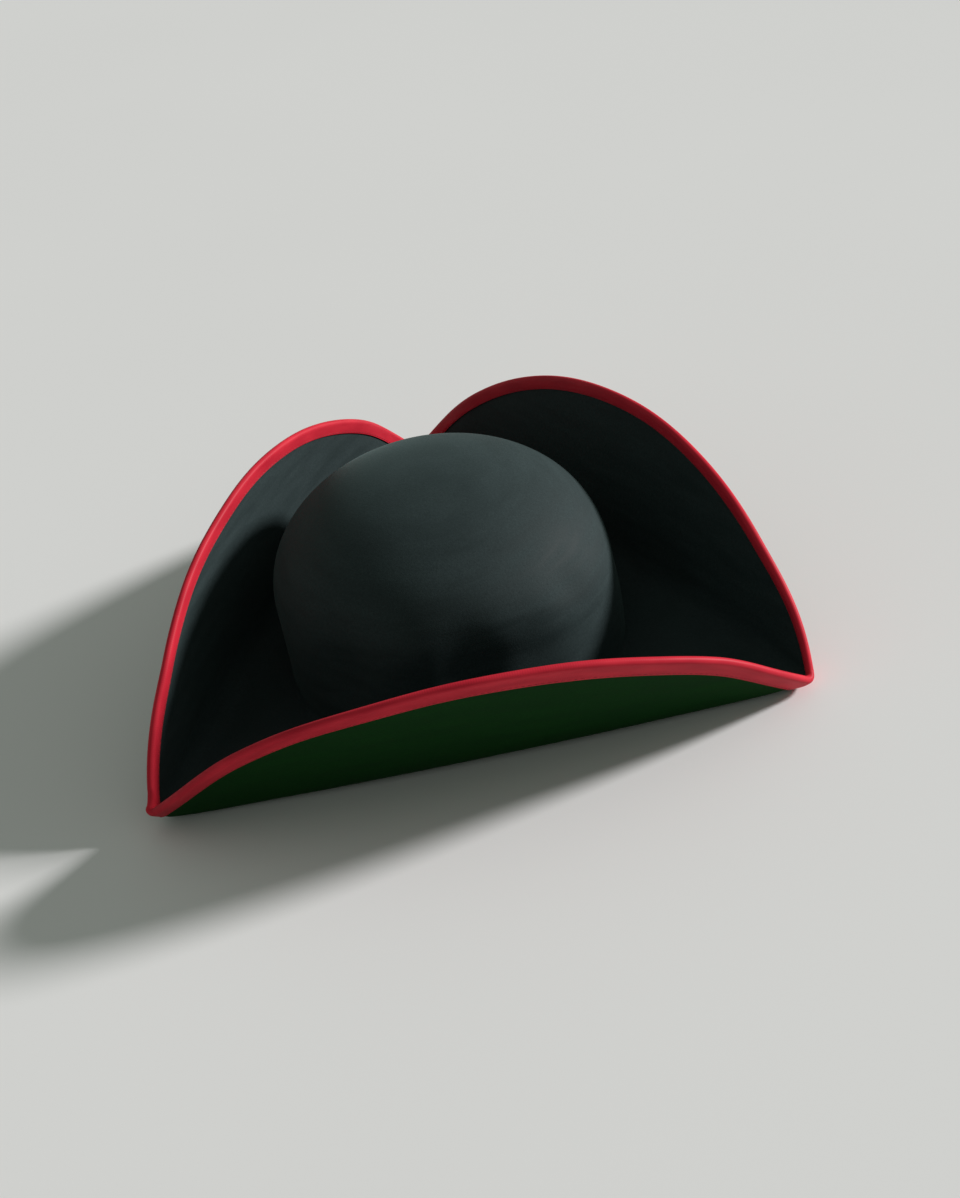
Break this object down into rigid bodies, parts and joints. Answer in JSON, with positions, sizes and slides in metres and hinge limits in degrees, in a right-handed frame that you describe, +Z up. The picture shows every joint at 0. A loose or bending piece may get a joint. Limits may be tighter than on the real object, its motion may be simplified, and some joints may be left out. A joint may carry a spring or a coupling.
{
  "type": "tricorn hat",
  "caption": "Felt tricorn hat: round bowl crown, wide brim cocked up in three flaps, and satin tape folded over the brim's whole edge.",
  "frame": {"origin": "middle of the hat's outline seen from above, on the surface that it rests on", "axes": "+Z up through the crown, +Y towards the corner behind the crown, so that the low front flap faces -Y"},
  "size_m": [0.3436, 0.348, 0.104],
  "materials": {
    "black_felt": "smooth felt with a faint satin sheen",
    "red_satin": "satin tape"
  },
  "bodies": {
    "root": {"crown": "black_felt", "brim": "black_felt", "binding": "red_satin"}
  },
  "joints": []
}
